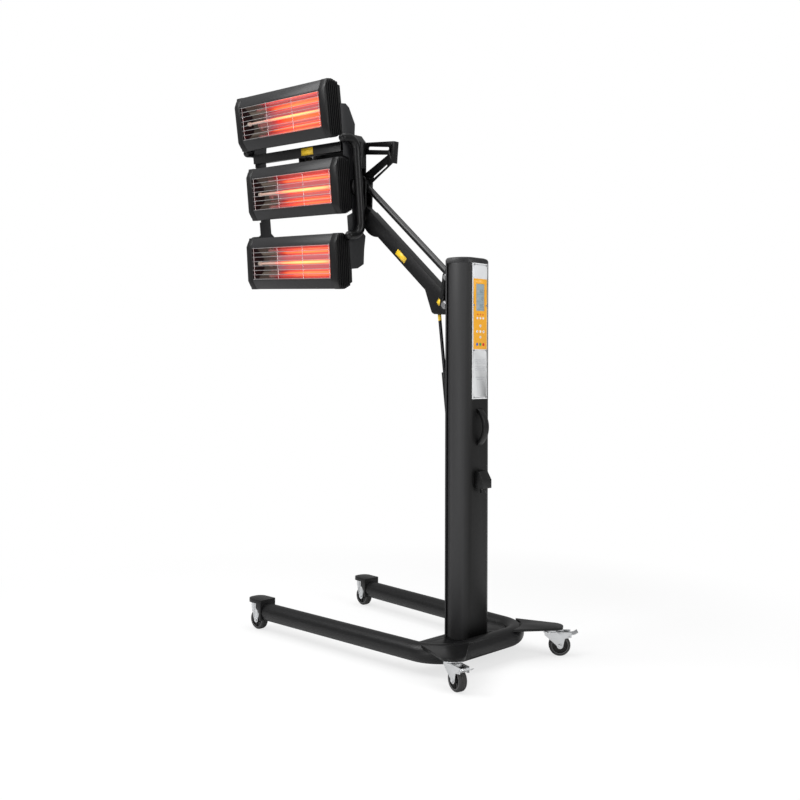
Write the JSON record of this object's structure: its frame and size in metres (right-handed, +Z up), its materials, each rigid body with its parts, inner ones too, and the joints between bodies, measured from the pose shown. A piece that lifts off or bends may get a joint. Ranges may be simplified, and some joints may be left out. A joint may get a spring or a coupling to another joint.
{
  "type": "infrared curing lamp",
  "caption": "Wheeled stand with a lifting parallelogram arm that carries a turning and tilting head of long infrared lamp cassettes.",
  "frame": {"origin": "on the floor, under the middle of the whole lamp's bounding box", "axes": "+Z up, the legs and the lifting arm point along -Y, the operator stands at +Y, the lamps face +X at rest"},
  "size_m": [0.6417, 1.3696, 2.0934],
  "materials": {
    "black_paint": "satin powder coat",
    "column_grey": "matt dark grey powder coat",
    "zinc": "bright zinc plate",
    "steel_pin": "machined steel",
    "black_plastic": "fine grain moulding",
    "wheel_rubber": "soft tread",
    "panel_silver": "light silver lacquer",
    "overlay_amber": "membrane overlay",
    "display_glass": "grey-blue display",
    "key_white": "keys and indicator lamps",
    "board_green": "circuit board",
    "housing_grey": "dark grey textured coat",
    "plate_grey": "mid grey satin coat",
    "reflector_bright": "polished trough",
    "quartz": "glowing infrared tube",
    "wire_chrome": "bright wire"
  },
  "bodies": {
    "stand": {"base_tube": "black_paint", "base_plate": "black_paint", "base_bolts": "steel_pin", "outrigger_left": "black_paint", "outrigger_right": "black_paint", "front_bracket_left": "black_paint", "front_bracket_right": "black_paint", "front_fork_left": "zinc", "front_fork_right": "zinc", "caster_plate_left": "zinc", "caster_plate_right": "zinc", "column": "column_grey", "column_cap": "black_plastic", "arm_clevis": "black_paint", "clevis_pins": "steel_pin", "strut_bracket": "black_paint", "strut_bolt": "steel_pin", "panel_plate": "panel_silver", "panel_overlay": "overlay_amber", "panel_display": "display_glass", "panel_keys": "key_white", "panel_screws": "steel_pin", "control_board": "board_green", "grab_handle": "black_plastic", "inlet_box": "black_plastic", "inlet_gland": "black_plastic"},
    "front_wheel_left": {"front_wheel_left": "wheel_rubber"},
    "front_wheel_right": {"front_wheel_right": "wheel_rubber"},
    "rear_fork_left": {"rear_fork_left": "zinc"},
    "rear_fork_right": {"rear_fork_right": "zinc"},
    "rear_wheel_left": {"rear_wheel_left": "wheel_rubber"},
    "rear_wheel_right": {"rear_wheel_right": "wheel_rubber"},
    "brake_pedal_left": {"brake_pedal_left": "zinc"},
    "brake_pedal_right": {"brake_pedal_right": "zinc"},
    "arm": {"arm_tube": "black_paint", "cable_sleeve": "black_plastic"},
    "guide_rod": {"guide_rod": "black_paint"},
    "strut_cylinder": {"strut_cylinder": "black_paint"},
    "strut_rod": {"strut_rod": "steel_pin"},
    "carrier": {"carrier": "black_paint", "carrier_pins": "steel_pin", "tail_frame": "black_paint"},
    "knuckle": {"turning_knuckle": "black_paint"},
    "head": {"tilt_pin": "steel_pin", "crossbar": "black_paint", "side_plate_left": "plate_grey", "side_plate_right": "plate_grey", "handle_left": "black_plastic", "handle_right": "black_plastic", "housing_top": "housing_grey", "housing_middle": "housing_grey", "housing_bottom": "housing_grey", "end_caps": "black_plastic", "reflectors": "reflector_bright", "quartz_lamps": "quartz", "wire_guards": "wire_chrome"}
  },
  "joints": [
    {"name": "front_wheel_left_roll", "type": "hinge", "parent": "stand", "child": "front_wheel_left", "pos_m": [0.28449, -0.39845, 0.0375], "axis": [0.9985, 0.055, 0], "continuous": true},
    {"name": "caster_left_swivel", "type": "hinge", "parent": "stand", "child": "rear_fork_left", "pos_m": [0.2681, 0.5913, 0.09], "axis": [0, 0, 1], "continuous": true},
    {"name": "rear_wheel_left_roll", "type": "hinge", "parent": "rear_fork_left", "child": "rear_wheel_left", "pos_m": [0.27561, 0.61931, 0.0375], "axis": [-0.9659, 0.2588, 0], "continuous": true},
    {"name": "brake_pedal_left_press", "type": "hinge", "parent": "rear_fork_left", "child": "brake_pedal_left", "pos_m": [0.28441, 0.65215, 0.075], "axis": [-0.9659, 0.2588, 0], "range_deg": [0, 12]},
    {"name": "front_wheel_right_roll", "type": "hinge", "parent": "stand", "child": "front_wheel_right", "pos_m": [-0.26029, -0.39845, 0.0375], "axis": [0.9985, -0.055, 0], "continuous": true},
    {"name": "caster_right_swivel", "type": "hinge", "parent": "stand", "child": "rear_fork_right", "pos_m": [-0.2439, 0.5913, 0.09], "axis": [0, 0, 1], "continuous": true},
    {"name": "rear_wheel_right_roll", "type": "hinge", "parent": "rear_fork_right", "child": "rear_wheel_right", "pos_m": [-0.26368, 0.61251, 0.0375], "axis": [-0.7314, -0.682, 0], "continuous": true},
    {"name": "brake_pedal_right_press", "type": "hinge", "parent": "rear_fork_right", "child": "brake_pedal_right", "pos_m": [-0.28687, 0.63738, 0.075], "axis": [-0.7314, -0.682, 0], "range_deg": [0, 12]},
    {"name": "arm_lift", "type": "hinge", "parent": "stand", "child": "arm", "pos_m": [0.0121, 0.3463, 1.224], "axis": [-1, 0, 0], "range_deg": [-62, 4]},
    {"name": "guide_rod_swing", "type": "hinge", "parent": "stand", "child": "guide_rod", "pos_m": [0.0121, 0.35138, 1.32087], "axis": [-1, 0, 0], "range_deg": [-63, 5]},
    {"name": "carrier_level", "type": "hinge", "parent": "arm", "child": "carrier", "pos_m": [0.0121, -0.10888, 1.61276], "axis": [-1, 0, 0], "range_deg": [-5, 63]},
    {"name": "strut_swing", "type": "hinge", "parent": "stand", "child": "strut_cylinder", "pos_m": [0.0121, 0.3573, 0.67], "axis": [-1, 0, 0], "range_deg": [-0.43, 3.74]},
    {"name": "strut_slide", "type": "slide", "parent": "strut_cylinder", "child": "strut_rod", "axis": [0, -0.1245, 0.9922], "range_m": [-0.05122, 0.00424]},
    {"name": "head_turn", "type": "hinge", "parent": "carrier", "child": "knuckle", "pos_m": [0.0121, -0.3587, 1.839], "axis": [0, 0.0523, 0.9986], "range_deg": [-180, 0]},
    {"name": "head_tilt", "type": "hinge", "parent": "knuckle", "child": "head", "pos_m": [0.07309, -0.35774, 1.83895], "axis": [-0.0157, 0.9985, -0.0523], "range_deg": [-45, 0]}
  ],
  "couplings": [
    {"joint": "guide_rod_swing", "follows": "arm_lift", "ratio": 1},
    {"joint": "carrier_level", "follows": "arm_lift", "ratio": -1},
    {"joint": "strut_swing", "follows": "arm_lift", "ratio": -0.057114},
    {"joint": "strut_slide", "follows": "arm_lift", "m_per_rad": 0.046414}
  ]
}
